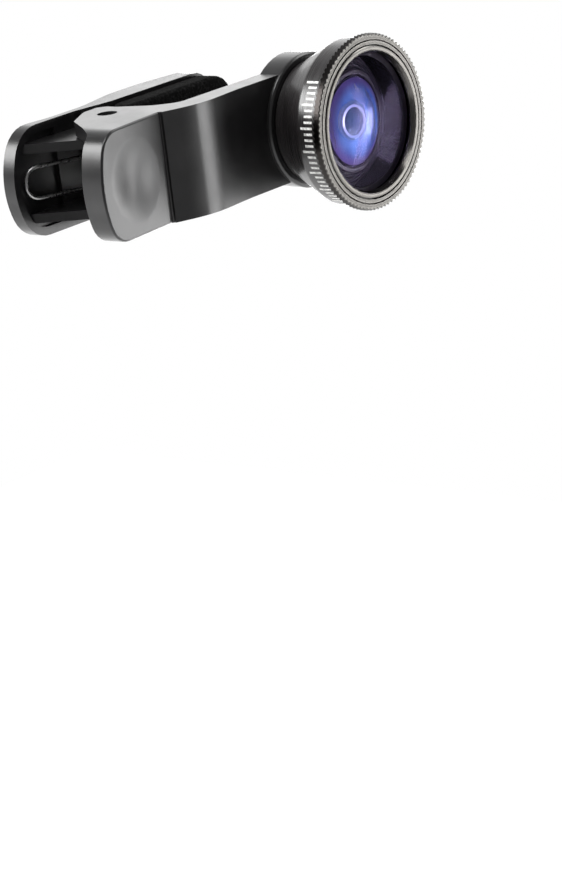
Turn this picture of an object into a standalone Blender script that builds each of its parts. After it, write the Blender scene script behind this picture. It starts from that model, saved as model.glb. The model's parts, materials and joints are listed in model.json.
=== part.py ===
"""Clip-on fisheye lens: a sprung plastic clip with a screw-in lens on its front jaw.

Plan coordinates: x runs along the arms from the hinge axis towards the lens,
y runs from the front jaw's contact plane towards the rear arm, z is along the
hinge axis from the middle of the clip. Lens coordinates: radius from the lens
axis, and height in front of the contact plane.
"""

import math

import bmesh
import bpy
from mathutils import Matrix

MM = 0.001

# Fits
RUN_CLEAR = 0.25 * MM  # beside a lug or round the pin, where plastic turns on plastic
PIN_CLEAR = 0.12 * MM
THREAD_CLEAR = 0.15 * MM
SEAT_GAP = 0.10 * MM  # a turned piece on its shoulder
GLASS_CLEAR = 0.15 * MM  # round an element in its bore
GLUE_GAP = 0.10 * MM  # adhesive under a pad

# Hinge
HINGE_Y = 6.2 * MM  # axis above the front jaw's contact plane
PIN_R = 1.30 * MM
PIN_SUNK = 0.70 * MM  # each end of the pin below its ear
ARM_HEIGHT = 15.6 * MM
EAR_WALL = 2.0 * MM
LUG_WALL = 1.3 * MM

# Front arm
FRONT_END_X = -12.8 * MM
FRONT_END_R = 16.0 * MM
FRONT_CORNER_R = 3.8 * MM
FACE_SET_BACK = 0.4 * MM  # plastic face behind the soft ring's face
BAR_THICK = 3.4 * MM
THUMB_END_Y = -2.9 * MM
THUMB_INNER_Y = -1.65 * MM
THUMB_EDGE_X = 1.9 * MM
THUMB_STEP = 0.5 * MM
THUMB_EDGE_R = 0.35 * MM
THUMB_WALL = 1.5 * MM
SHOULDER_X = 5.4 * MM
SHOULDER_DROP = 0.74 * MM  # below the crest
CREST_X = 8.9 * MM
CREST_RISE = 0.62 * MM  # crest above the flat bar
CREST_END_X = 16.5 * MM
CREST_BLEND_R = 12.0 * MM
BAR_BLEND_R = 40.0 * MM
SKIRT_WALL = 1.3 * MM
SKIRT_RIM_Y = 0.8 * MM
EAR_RISE = 4.5 * MM  # beyond the hinge axis
EAR_REACH = 3.9 * MM  # beside the hinge axis, jaw side
EAR_TIP_X = -5.2 * MM
EAR_TIP_Y = 7.8 * MM
EAR_NOTCH_X = -10.4 * MM
EAR_FOOT_X = 7.6 * MM
LOW_EAR_TIP_X = -3.4 * MM
DISH_END = 1.4 * MM  # pad left round the dish, at the arm's end
DISH_SIDE = 1.1 * MM
DISH_STEP = 0.9 * MM
DISH_DEPTH = 0.55 * MM
DISH_OVER = 0.012 * MM  # how far the dish's cutter stands over the pad at its rim
DISH_RINGS = 7
DISH_STEPS = 40

# Rear arm
REAR_END_X = -13.3 * MM
REAR_END_R = 11.5 * MM
REAR_CORNER_R = 5.2 * MM
REAR_FACE_Y = 14.8 * MM
PLATE_WALL = 1.5 * MM
PLATE_RIM_WIDTH = 1.2 * MM
PLATE_RIM_RISE = 0.5 * MM
PLATE_END_X = 1.0 * MM
PLATE_FLOOR_END_X = -4.0 * MM
WAIST_X = 0.0 * MM
WAIST_HALF = 3.5 * MM
WAIST_DIP = 0.9 * MM
BOW_X = 14.5 * MM
BOW_RISE = 0.75 * MM
BOW_HALF = 3.5 * MM
BOW_BLEND_R = 14.0 * MM
WAIST_BLEND_R = 9.0 * MM
JAW_END_X = 29.0 * MM
JAW_CORNER_R = 4.0 * MM
JAW_WALL = 3.2 * MM  # at the soft pad, behind the outer face
LUG_R = 3.1 * MM
LUG_TOE_X = -6.1 * MM
LUG_TOE_Y = 5.2 * MM

# Soft pads
JAW_GAP = 7.6 * MM
PAD_START_X = 5.7 * MM
PAD_SIDE_INSET = 0.35 * MM
PAD_OVERHANG = 0.3 * MM  # past the plastic at the jaw's end
PAD_EDGE_R = 1.4 * MM
RING_PAD_THICK = 0.7 * MM
RING_PAD_LAND = 0.7 * MM  # plastic left between the thread and the soft ring
RING_PAD_EDGE = 0.55 * MM  # inside the boss's outline
RING_PAD_SIDE = 0.15 * MM

# Spring
WIRE_R = 0.28 * MM
COIL_R = 2.00 * MM  # to the middle of the wire
COIL_PITCH = 0.64 * MM
COIL_FULL_TURNS = 2
LOOP_BEND_SHARE = 0.9  # of the loop's half width
LOOP_END_X = -10.9 * MM
LEG_END_X = -9.6 * MM
COIL_POINTS = 12  # per turn

# Knurled bezel, from which the other turned radii step inwards
BEZEL_R = 12.45 * MM
BEZEL_DEPTH = 1.05 * MM
BEZEL_LIP_WIDTH = 1.5 * MM
BEZEL_LIP = 0.3 * MM
BEZEL_GROOVE_IN = 0.93 * MM
BEZEL_GROOVE_WIDTH = 0.22 * MM
BEZEL_GROOVE_DEPTH = 0.25 * MM
BEZEL_CHAMFER = 0.12 * MM
KNURL_TEETH = 96
KNURL_DEPTH = 0.30 * MM

# Lens barrel
BAND_STEP = 0.55 * MM  # below the knurl's crests
BAND_R = BEZEL_R - BAND_STEP
BAND_LENGTH = 3.0 * MM
SPIGOT_STEP = 0.4 * MM
SPIGOT_R = BAND_R - SPIGOT_STEP
SPIGOT_WALL = 0.6 * MM
SPIGOT_LENGTH = 0.75 * MM
TAPER_SHARE = 0.815  # of the band's radius
TAPER_FOOT_R = BAND_R * TAPER_SHARE
TAPER_LENGTH = 4.4 * MM
NECK_STEP = 0.9 * MM
NECK_R = TAPER_FOOT_R - NECK_STEP
NECK_LENGTH = 2.0 * MM
THREAD_SHARE = 0.6875  # of the neck's radius
THREAD_R = NECK_R * THREAD_SHARE
TAIL_LENGTH = 3.6 * MM

# Lens mount on the front arm
LENS_X = 31.4 * MM
BOSS_STEP = 0.95 * MM  # outside the neck
BOSS_R = NECK_R + BOSS_STEP
BOSS_PROUD = 0.65 * MM  # above the flat bar
BOSS_BACK_PROUD = 0.1 * MM  # behind the flat bar
BOSS_FILLET = 0.6 * MM

# Front element and the ring that holds it
GLASS_STEP = 1.75 * MM  # inside the band
GLASS_R = BAND_R - GLASS_STEP
GLASS_RECESS = 1.05 * MM  # rim below the bezel's face
GLASS_EDGE = 3.4 * MM
GLASS_CENTRE = 1.6 * MM
GLASS_FLAT = 1.35 * MM
DOME_R = 24.0 * MM
FRONT_RING_COVER = 0.4 * MM  # over the glass's rim
FRONT_RING_WIDTH = 0.97 * MM
FRONT_RING_PROUD = 0.1 * MM
FRONT_RING_LAND = 0.62 * MM
FRONT_RING_LIP = 0.3 * MM

# Cell, second element and stop
CELL_FLANGE = 0.7 * MM
CELL_CONE_STEP = 1.35 * MM
CELL_HUB_WALL = 0.65 * MM
CELL_BODY_STEP = 2.05 * MM
CELL_BODY_LENGTH = 1.7 * MM
CELL_LIP = 0.65 * MM
CELL_SEAT_DROP = 1.1 * MM  # seat below the flange's face
SECOND_SHARE = 0.648  # of the front element's radius
SECOND_R = GLASS_R * SECOND_SHARE
SECOND_EDGE = 1.35 * MM
SECOND_DOME_R = 14.0 * MM
SECOND_FLAT = 0.25 * MM
STOP_THICK = 0.3 * MM
STOP_HOLE_SHARE = 0.287  # of the second element's radius

# Rear element and the ring that holds it
REAR_GLASS_SHARE = 0.793  # of the thread's radius
REAR_GLASS_R = THREAD_R * REAR_GLASS_SHARE
REAR_GLASS_EDGE = 1.2 * MM
REAR_GLASS_FLAT = 0.65 * MM
REAR_DOME_R = 12.0 * MM
REAR_RING_LENGTH = 1.1 * MM
REAR_RING_SHARE = 0.8125  # inner radius, of the rear element's
REAR_RING_SUNK = 0.1 * MM
SPANNER_SLOT = 0.9 * MM
SPANNER_DEPTH = 0.5 * MM
BARREL_FLOOR = 0.6 * MM  # clear under the cell

# Facets
FINE_STEPS = 48
ROUND_STEPS = 40
INNER_STEPS = 32
SHARP_ANGLE = math.radians(32)
FILLET_STEP = math.radians(30)
PLAN_STEP = math.radians(7)

# Levels and radii that follow from the sizes above
HALF = ARM_HEIGHT / 2
EAR_INNER = HALF - EAR_WALL
LUG_TOP = EAR_INNER - RUN_CLEAR
LUG_INNER = LUG_TOP - LUG_WALL
PIN_HOLE_R = PIN_R + PIN_CLEAR
BAR_INNER_Y = -FACE_SET_BACK
BAR_OUTER_Y = BAR_INNER_Y - BAR_THICK
PLATE_FLOOR_Y = REAR_FACE_Y - PLATE_WALL
PLATE_RIM_Y = PLATE_FLOOR_Y - PLATE_RIM_RISE
JAW_WALL_Y = REAR_FACE_Y - JAW_WALL
BOSS_FACE = -BAR_OUTER_Y + BOSS_PROUD
BOSS_BACK = FACE_SET_BACK - BOSS_BACK_PROUD
BORE_R = THREAD_R + THREAD_CLEAR
NECK_FOOT = BOSS_FACE + SEAT_GAP
TAIL_END = NECK_FOOT - TAIL_LENGTH
TAPER_FOOT = NECK_FOOT + NECK_LENGTH
BAND_FOOT = TAPER_FOOT + TAPER_LENGTH
BAND_TOP = BAND_FOOT + BAND_LENGTH
SPIGOT_TOP = BAND_TOP + SPIGOT_LENGTH
BEZEL_FOOT = BAND_TOP + SEAT_GAP
BEZEL_FACE = BEZEL_FOOT + BEZEL_DEPTH
GLASS_RIM = BEZEL_FACE - GLASS_RECESS
GLASS_FOOT = GLASS_RIM - GLASS_EDGE
GLASS_BORE_R = GLASS_R + GLASS_CLEAR
BEZEL_LIP_R = BEZEL_R - BEZEL_LIP_WIDTH
BEZEL_GROOVE_R = BEZEL_R - BEZEL_GROOVE_IN
RING_PAD_OUT_R = BOSS_R - RING_PAD_EDGE
RING_PAD_IN_R = BORE_R + RING_PAD_LAND
FRONT_RING_IN_R = GLASS_R - FRONT_RING_COVER
FRONT_RING_OUT_R = FRONT_RING_IN_R + FRONT_RING_WIDTH
RING_BORE_R = SPIGOT_R - SPIGOT_WALL
CELL_CONE_R = GLASS_R - CELL_CONE_STEP
CELL_BODY_R = GLASS_R - CELL_BODY_STEP
CELL_LIP_R = SECOND_R - CELL_LIP
STOP_HOLE_R = SECOND_R * STOP_HOLE_SHARE
REAR_RING_IN_R = REAR_GLASS_R * REAR_RING_SHARE
CELL_FACE = GLASS_FOOT - SEAT_GAP
CELL_UNDER = CELL_FACE - CELL_FLANGE
CELL_BOTTOM = CELL_UNDER - CELL_BODY_LENGTH
CELL_SEAT = CELL_FACE - CELL_SEAT_DROP
CELL_POCKET_R = SECOND_R + GLASS_CLEAR
STOP_FOOT = CELL_SEAT + SEAT_GAP / 2
SECOND_FOOT = STOP_FOOT + STOP_THICK + SEAT_GAP
SECOND_RIM = SECOND_FOOT + SECOND_EDGE
REAR_POCKET_R = REAR_GLASS_R + GLASS_CLEAR
REAR_RING_FOOT = TAIL_END + REAR_RING_SUNK
REAR_GLASS_FOOT = REAR_RING_FOOT + REAR_RING_LENGTH + SEAT_GAP
REAR_GLASS_RIM = REAR_GLASS_FOOT + REAR_GLASS_EDGE
REAR_SEAT = REAR_GLASS_RIM + SEAT_GAP
LIGHT_R = REAR_GLASS_R - REAR_GLASS_FLAT + 0.1 * MM

PARTS = "clip_on_phone_lens"
CUTTERS = "clip_on_phone_lens_cutters"


def clear_scene():
    for obj in list(bpy.data.objects):
        bpy.data.objects.remove(obj, do_unlink=True)


def collection(name):
    made = bpy.data.collections.new(name)
    bpy.context.scene.collection.children.link(made)
    return made


def plastic(name, colour, roughness, metallic=0.0):
    """A Principled material of one colour."""
    made = bpy.data.materials.new(name)
    made.use_nodes = True
    shader = made.node_tree.nodes["Principled BSDF"]
    shader.inputs["Base Color"].default_value = (*colour, 1.0)
    shader.inputs["Roughness"].default_value = roughness
    shader.inputs["Metallic"].default_value = metallic
    return made


def glass(name, colour, roughness):
    made = plastic(name, colour, roughness)
    shader = made.node_tree.nodes["Principled BSDF"]
    shader.inputs["Transmission Weight"].default_value = 0.9
    shader.inputs["IOR"].default_value = 1.52
    return made


def arc(centre, radius, start, end, count):
    """Points from angle start to angle end, both included."""
    return [
        (
            centre[0] + radius * math.cos(start + (end - start) * i / count),
            centre[1] + radius * math.sin(start + (end - start) * i / count),
        )
        for i in range(count + 1)
    ]


def rounded(corners, step=math.radians(14)):
    """The closed outline through (x, y, fillet radius) corners, with each fillet as an arc."""
    points = []
    for i, (x, y, radius) in enumerate(corners):
        ax, ay = corners[i - 1][:2]
        bx, by = corners[(i + 1) % len(corners)][:2]
        la, lb = math.hypot(ax - x, ay - y), math.hypot(bx - x, by - y)
        ua, ub = ((ax - x) / la, (ay - y) / la), ((bx - x) / lb, (by - y) / lb)
        inner = math.acos(max(-1.0, min(1.0, ua[0] * ub[0] + ua[1] * ub[1])))
        if radius <= 0 or inner > math.radians(179):
            points.append((x, y))
            continue
        reach = min(radius / math.tan(inner / 2), 0.48 * min(la, lb))
        radius = reach * math.tan(inner / 2)
        away = radius / math.sin(inner / 2)
        mx, my = ua[0] + ub[0], ua[1] + ub[1]
        size = math.hypot(mx, my)
        cx, cy = x + mx / size * away, y + my / size * away
        start = math.atan2(y + ua[1] * reach - cy, x + ua[0] * reach - cx)
        end = math.atan2(y + ub[1] * reach - cy, x + ub[0] * reach - cx)
        turn = (end - start + math.pi) % (2 * math.pi) - math.pi
        count = max(2, round(abs(turn) / step))
        points += arc((cx, cy), radius, start, start + turn, count)
    return points


def dee(end_x, end_r, corner_r, half):
    """The side outline's round end as (x, z) points: an arc with a smaller one at each corner."""
    centre_x = end_x + end_r
    corner_z = half - corner_r
    corner_x = centre_x - math.sqrt((end_r - corner_r) ** 2 - corner_z**2)
    meet = math.atan2(corner_z, corner_x - centre_x)
    upper = arc((corner_x, corner_z), corner_r, math.pi / 2, meet, 6)
    middle = arc((centre_x, 0.0), end_r, meet, 2 * math.pi - meet, 10)[1:-1]
    lower = arc((corner_x, -corner_z), corner_r, 2 * math.pi - meet, 1.5 * math.pi, 6)
    return upper + middle + lower


def dee_blank(end_x, end_r, corner_r, half, right):
    """The dee with straight sides to the right, and square there."""
    return dee(end_x, end_r, corner_r, half) + [(right, -half), (right, half)]


def mesh_of(obj):
    """The object's evaluated mesh, welded, in place of the object."""
    bpy.context.view_layer.update()
    graph = bpy.context.evaluated_depsgraph_get()
    mesh = bpy.data.meshes.new_from_object(obj.evaluated_get(graph))
    mesh.transform(obj.matrix_basis)
    cage = bmesh.new()
    cage.from_mesh(mesh)
    bmesh.ops.remove_doubles(cage, verts=cage.verts, dist=1e-7)
    bmesh.ops.recalc_face_normals(cage, faces=cage.faces)
    cage.to_mesh(mesh)
    cage.free()
    name, home = obj.name, obj.users_collection[0]
    bpy.data.objects.remove(obj, do_unlink=True)
    made = bpy.data.objects.new(name, mesh)
    home.objects.link(made)
    return made


def extruded(name, outline, low, high, axis, home, chamfer=0.0):
    """A flat outline carried from low to high: (x, y) points along Z, or (x, z) points along Y.

    A chamfer stands out that far round the outline, between the two ends.
    """
    flat = bpy.data.curves.new(name, "CURVE")
    flat.dimensions = "2D"
    flat.fill_mode = "BOTH"
    flat.extrude = (high - low) / 2 - chamfer
    flat.bevel_depth = chamfer
    flat.bevel_resolution = 0
    spline = flat.splines.new("POLY")
    spline.points.add(len(outline) - 1)
    for point, (u, v) in zip(spline.points, outline):
        point.co = (u, v, 0.0, 1.0)
    spline.use_cyclic_u = True
    obj = bpy.data.objects.new(name, flat)
    home.objects.link(obj)
    if axis == "Z":
        obj.location.z = (low + high) / 2
    else:
        obj.rotation_euler.x = math.pi / 2
        obj.location.y = (low + high) / 2
    return mesh_of(obj)


def turned(name, profile, steps, home):
    """A (radius, height) profile turned about local Z, open where it runs along the axis."""
    area = sum(
        a[0] * b[1] - b[0] * a[1] for a, b in zip(profile, profile[1:] + profile[:1])
    )
    if area > 0:
        profile = profile[::-1]
    on_axis = [i for i, (radius, _) in enumerate(profile) if radius < 1e-9]
    if on_axis:
        first = next(i for i in on_axis if (i + 1) % len(profile) not in on_axis)
        profile = profile[first:] + profile[:first]
    mesh = bpy.data.meshes.new(name)
    edges = [(i, i + 1) for i in range(len(profile) - 1)]
    if not on_axis:
        edges.append((len(profile) - 1, 0))
    mesh.from_pydata([(radius, 0.0, height) for radius, height in profile], edges, [])
    obj = bpy.data.objects.new(name, mesh)
    home.objects.link(obj)
    screw = obj.modifiers.new("turn", "SCREW")
    screw.axis = "Z"
    screw.angle = 2 * math.pi
    screw.steps = steps
    screw.render_steps = steps
    screw.use_merge_vertices = True
    screw.merge_threshold = 1e-6
    return mesh_of(obj)


def cylinder(name, radius, low, high, steps, home):
    """A round bar about local Z."""
    return turned(name, [(0.0, low), (radius, low), (radius, high), (0.0, high)], steps, home)


def boolean(obj, operation, tool):
    """Cuts, joins or trims obj with tool, which stays as a hidden guide."""
    tool.hide_render = True
    tool.display_type = "WIRE"
    step = obj.modifiers.new(tool.name, "BOOLEAN")
    step.operation = operation
    step.object = tool
    step.solver = "EXACT"


def finished(obj, material, parent):
    """The piece with its modifiers made real, its round faces smooth and its material set."""
    made = mesh_of(obj)
    made.data.shade_smooth()
    made.data.set_sharp_from_angle(angle=SHARP_ANGLE)
    made.data.materials.clear()
    made.data.materials.append(material)
    made.parent = parent
    return made


def empty(name, location, home, parent=None, rotation=(0.0, 0.0, 0.0)):
    made = bpy.data.objects.new(name, None)
    made.empty_display_size = 5 * MM
    made.location = location
    made.rotation_euler = rotation
    made.parent = parent
    home.objects.link(made)
    return made


def sag(radius, at):
    """How far a sphere's surface falls behind its top at that distance from the axis."""
    return radius - math.sqrt(radius * radius - at * at)


def dome(radius, at, top, count):
    """(radius, height) points of a spherical face, from distance at to the axis."""
    return [
        (at * (count - i) / count, top - sag(radius, at * (count - i) / count))
        for i in range(count + 1)
    ]


def front_arm_plan():
    """The front arm seen along the hinge: thumb pad, crest, flat bar, and the ears behind them."""
    left = FRONT_END_X - 1.5 * MM
    slope = (THUMB_INNER_Y - THUMB_END_Y) / (THUMB_EDGE_X - FRONT_END_X)
    left_y = THUMB_END_Y + slope * (left - FRONT_END_X)
    crest_y = BAR_OUTER_Y - CREST_RISE
    ear_top = HINGE_Y + EAR_RISE
    return rounded(
        [
            (left, left_y, 0),
            (THUMB_EDGE_X, THUMB_INNER_Y, THUMB_EDGE_R),
            (THUMB_EDGE_X, THUMB_INNER_Y - THUMB_STEP, 0),
            (SHOULDER_X, crest_y + SHOULDER_DROP, CREST_BLEND_R),
            (CREST_X, crest_y, CREST_BLEND_R),
            (CREST_END_X, BAR_OUTER_Y, BAR_BLEND_R),
            (LENS_X, BAR_OUTER_Y, 0),
            (LENS_X, BAR_INNER_Y, 0),
            (EAR_FOOT_X, BAR_INNER_Y, 3.0 * MM),
            (EAR_FOOT_X - 2.2 * MM, BAR_INNER_Y + 2.8 * MM, 3.0 * MM),
            (EAR_REACH - 0.1 * MM, HINGE_Y + 1.8 * MM, 1.5 * MM),
            (EAR_REACH, ear_top - 1.1 * MM, 0.8 * MM),
            (EAR_REACH - 1.0 * MM, ear_top, 0.8 * MM),
            (0.0, ear_top - 0.1 * MM, 2.0 * MM),
            (EAR_TIP_X, EAR_TIP_Y, 0.4 * MM),
            (EAR_NOTCH_X, SKIRT_RIM_Y, 1.2 * MM),
            (left, SKIRT_RIM_Y, 0),
        ],
        PLAN_STEP,
    )


def front_arm_hollow(home):
    """What is cut from behind the thumb pad and between the ears."""
    left = FRONT_END_X - 2.0 * MM
    floor_y = BAR_INNER_Y - 0.15 * MM
    slope = (THUMB_INNER_Y - THUMB_END_Y) / (THUMB_EDGE_X - FRONT_END_X)
    left_y = THUMB_END_Y + THUMB_WALL + slope * (left - FRONT_END_X)
    bend_x = left + (floor_y - left_y) / slope
    bend_x = min(bend_x, EAR_REACH - 1.0 * MM)
    plan = rounded(
        [
            (left, left_y, 0),
            (bend_x, floor_y, 0),
            (EAR_FOOT_X - 1.2 * MM, floor_y, 0.4 * MM),
            (EAR_FOOT_X - 1.2 * MM, HINGE_Y + EAR_RISE + 2.0 * MM, 0),
            (left, HINGE_Y + EAR_RISE + 2.0 * MM, 0),
        ]
    )
    hollow = extruded("front_arm_hollow", plan, -HALF, HALF, "Z", home)
    inner = dee_blank(
        FRONT_END_X + SKIRT_WALL,
        FRONT_END_R - SKIRT_WALL,
        FRONT_CORNER_R - SKIRT_WALL,
        EAR_INNER,
        LENS_X,
    )
    side = extruded(
        "front_arm_hollow_side", inner, THUMB_END_Y - 4 * MM, HINGE_Y + 12 * MM, "Y", home
    )
    boolean(hollow, "INTERSECT", side)
    return mesh_of(hollow)


def low_ear_trim(home):
    """Takes the pointed tip off the lower ear, which is shorter than the upper one."""
    over = 2.0 * MM
    plan = [
        (EAR_TIP_X - 3 * over, SKIRT_RIM_Y),
        (LOW_EAR_TIP_X - 3.0 * MM, SKIRT_RIM_Y),
        (LOW_EAR_TIP_X, HINGE_Y + 0.4 * MM),
        (LOW_EAR_TIP_X + 1.6 * MM, HINGE_Y + EAR_RISE + over),
        (EAR_TIP_X - 3 * over, HINGE_Y + EAR_RISE + over),
    ]
    return extruded("low_ear_trim", plan, -HALF - over, 0.0, "Z", home)


def thumb_dish(home):
    """The shallow oval hollow in the thumb pad: a soft-edged dish, deepest in its middle."""
    left, right = FRONT_END_X + DISH_END, THUMB_EDGE_X - DISH_STEP
    middle_x, half_length = (left + right) / 2, (right - left) / 2
    half_width = HALF - DISH_SIDE
    slope = math.atan2(THUMB_INNER_Y - THUMB_END_Y, THUMB_EDGE_X - FRONT_END_X)
    surface_y = THUMB_END_Y + math.tan(slope) * (middle_x - FRONT_END_X)
    profile = [(0.0, 2 * MM), (1.0, 2 * MM)]
    for i in range(DISH_RINGS + 1):
        share = 1 - i / DISH_RINGS
        fall = DISH_DEPTH * math.cos(share * math.pi / 2) ** 2
        profile.append((share, DISH_OVER - fall))
    dish = turned("thumb_dish", profile, DISH_STEPS, home)
    size = Matrix.Diagonal((half_length, half_width, 1.0, 1.0))
    stand = Matrix.Rotation(math.pi / 2, 4, "X")
    turn = Matrix.Rotation(slope, 4, "Z")
    place = Matrix.Translation((middle_x, surface_y, 0.0))
    dish.data.transform(place @ turn @ stand @ size)
    return dish


def on_lens_axis(obj):
    """Moves a mesh from lens coordinates to plan coordinates."""
    turn = Matrix.Rotation(math.pi / 2, 4, "X")
    obj.data.transform(Matrix.Translation((LENS_X, 0.0, 0.0)) @ turn)
    return obj


def front_arm(home, guides):
    """Thumb pad, ears, bar and threaded boss, moulded in one."""
    over = 2 * MM
    arm = extruded("front_arm", front_arm_plan(), -HALF - over, HALF + over, "Z", home)
    side = dee_blank(FRONT_END_X, FRONT_END_R, FRONT_CORNER_R, HALF, LENS_X + 2 * MM)
    blank = extruded(
        "front_arm_side", side, BAR_OUTER_Y - 5 * MM, HINGE_Y + 12 * MM, "Y", guides
    )
    boolean(arm, "INTERSECT", blank)
    boolean(arm, "DIFFERENCE", front_arm_hollow(guides))
    boolean(arm, "DIFFERENCE", low_ear_trim(guides))
    boolean(arm, "DIFFERENCE", thumb_dish(guides))
    boss = rounded(
        [
            (BORE_R - 1 * MM, BOSS_BACK, 0),
            (BOSS_R, BOSS_BACK, 0.3 * MM),
            (BOSS_R, BOSS_FACE, BOSS_FILLET),
            (BORE_R - 1 * MM, BOSS_FACE, 0),
        ],
        FILLET_STEP,
    )
    boolean(arm, "UNION", on_lens_axis(turned("boss", boss, FINE_STEPS, guides)))
    bore = [
        (0.0, -1 * MM),
        (BORE_R, -1 * MM),
        (BORE_R, BOSS_FACE - 0.4 * MM),
        (BORE_R + 0.5 * MM, BOSS_FACE + 0.1 * MM),
        (BORE_R + 0.5 * MM, BOSS_FACE + 2 * MM),
        (0.0, BOSS_FACE + 2 * MM),
    ]
    boolean(arm, "DIFFERENCE", on_lens_axis(turned("bore", bore, FINE_STEPS, guides)))
    recess = [
        (RING_PAD_IN_R - RING_PAD_SIDE, -1 * MM),
        (RING_PAD_OUT_R + RING_PAD_SIDE, -1 * MM),
        (RING_PAD_OUT_R + RING_PAD_SIDE, RING_PAD_THICK + GLUE_GAP),
        (RING_PAD_IN_R - RING_PAD_SIDE, RING_PAD_THICK + GLUE_GAP),
    ]
    boolean(
        arm, "DIFFERENCE", on_lens_axis(turned("ring_recess", recess, ROUND_STEPS, guides))
    )
    hole = cylinder("front_pin_hole", PIN_HOLE_R, -HALF - 1 * MM, HALF + 1 * MM, 24, guides)
    hole.data.transform(Matrix.Translation((0.0, HINGE_Y, 0.0)))
    boolean(arm, "DIFFERENCE", hole)
    return arm


def rear_arm_plan():
    """The rear arm seen along the hinge, from the hinge axis: finger plate, waist and bowed jaw."""
    left = REAR_END_X - 1.5 * MM
    face = REAR_FACE_Y - HINGE_Y
    rim = PLATE_RIM_Y - HINGE_Y
    wall = JAW_WALL_Y - HINGE_Y
    return rounded(
        [
            (left, rim, 0),
            (PLATE_END_X - 0.5 * MM, rim, 3.0 * MM),
            (PAD_START_X, wall + 0.25 * MM, 1.5 * MM),
            (PAD_START_X + 1.5 * MM, wall, 1.0 * MM),
            (JAW_END_X, wall, 0.4 * MM),
            (JAW_END_X - 0.6 * MM, face - 1.6 * MM, 1.2 * MM),
            (JAW_END_X - 4.0 * MM, face - 0.3 * MM, 5.0 * MM),
            (BOW_X + BOW_HALF, face + BOW_RISE, BOW_BLEND_R),
            (BOW_X - BOW_HALF, face + BOW_RISE, BOW_BLEND_R),
            (WAIST_X + WAIST_HALF, face - WAIST_DIP, WAIST_BLEND_R),
            (WAIST_X - WAIST_HALF, face - WAIST_DIP, WAIST_BLEND_R),
            (REAR_END_X + 4.0 * MM, face, 8.0 * MM),
            (left, face, 0),
        ]
    )


def rear_arm_side():
    """The rear arm's (x, z) outline: a dee at the fingers, round corners at the jaw."""
    fingers = dee(REAR_END_X, REAR_END_R, REAR_CORNER_R, HALF)
    return fingers + jaw_corners(JAW_END_X, HALF, JAW_CORNER_R)


def jaw_corners(end_x, half, radius):
    """The two round corners at the jaw's end, from the lower one up."""
    centre_x, centre_z = end_x - radius, half - radius
    lower = arc((centre_x, -centre_z), radius, -math.pi / 2, 0.0, 6)
    upper = arc((centre_x, centre_z), radius, 0.0, math.pi / 2, 6)
    return lower + upper


def lug_plan():
    """A hinge lug seen along the hinge: a gusset from the finger plate, round at the pin."""
    root = PLATE_FLOOR_Y - HINGE_Y + 0.3 * MM
    root_x = REAR_END_X + 2.6 * MM
    toe_y = LUG_TOE_Y - HINGE_Y
    wall = JAW_WALL_Y - HINGE_Y
    return rounded(
        [
            (root_x, root, 0),
            (LUG_TOE_X, toe_y, 1.2 * MM),
            (-LUG_R * 0.5, -LUG_R, 1.5 * MM),
            (LUG_R, -LUG_R, LUG_R),
            (LUG_R, 0.6 * MM, 1.5 * MM),
            (PAD_START_X - 0.4 * MM, wall + 0.4 * MM, 0),
            (PAD_START_X - 0.4 * MM, root, 0),
        ]
    )


def rear_arm(home, guides):
    """Finger plate with its rim, two hinge lugs and the bowed jaw, moulded in one."""
    over = 2 * MM
    arm = extruded("rear_arm", rear_arm_plan(), -HALF - over, HALF + over, "Z", home)
    side = rear_arm_side()
    blank = extruded("rear_arm_side", side, -12 * MM, 12 * MM, "Y", guides)
    boolean(arm, "INTERSECT", blank)
    pocket = dee_blank(
        REAR_END_X + PLATE_RIM_WIDTH,
        REAR_END_R - PLATE_RIM_WIDTH,
        REAR_CORNER_R - PLATE_RIM_WIDTH,
        HALF - PLATE_RIM_WIDTH,
        PLATE_FLOOR_END_X,
    )
    floor = extruded(
        "plate_pocket",
        pocket,
        PLATE_RIM_Y - HINGE_Y - 2 * MM,
        PLATE_FLOOR_Y - HINGE_Y,
        "Y",
        guides,
    )
    boolean(arm, "DIFFERENCE", floor)
    for side_name, low in (("upper", LUG_TOP - LUG_WALL), ("lower", -LUG_TOP)):
        lug = extruded(f"{side_name}_lug", lug_plan(), low, low + LUG_WALL, "Z", guides)
        boolean(arm, "UNION", lug)
    hole = cylinder("rear_pin_hole", PIN_HOLE_R, -HALF, HALF, 24, guides)
    boolean(arm, "DIFFERENCE", hole)
    return arm


def hinge_pin(home):
    top = HALF - PIN_SUNK
    tip = 0.2 * MM
    profile = [
        (0.0, -top),
        (PIN_R - tip, -top),
        (PIN_R, -top + tip),
        (PIN_R, top - tip),
        (PIN_R - tip, top),
        (0.0, top),
    ]
    return turned("hinge_pin", profile, 24, home)


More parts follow.
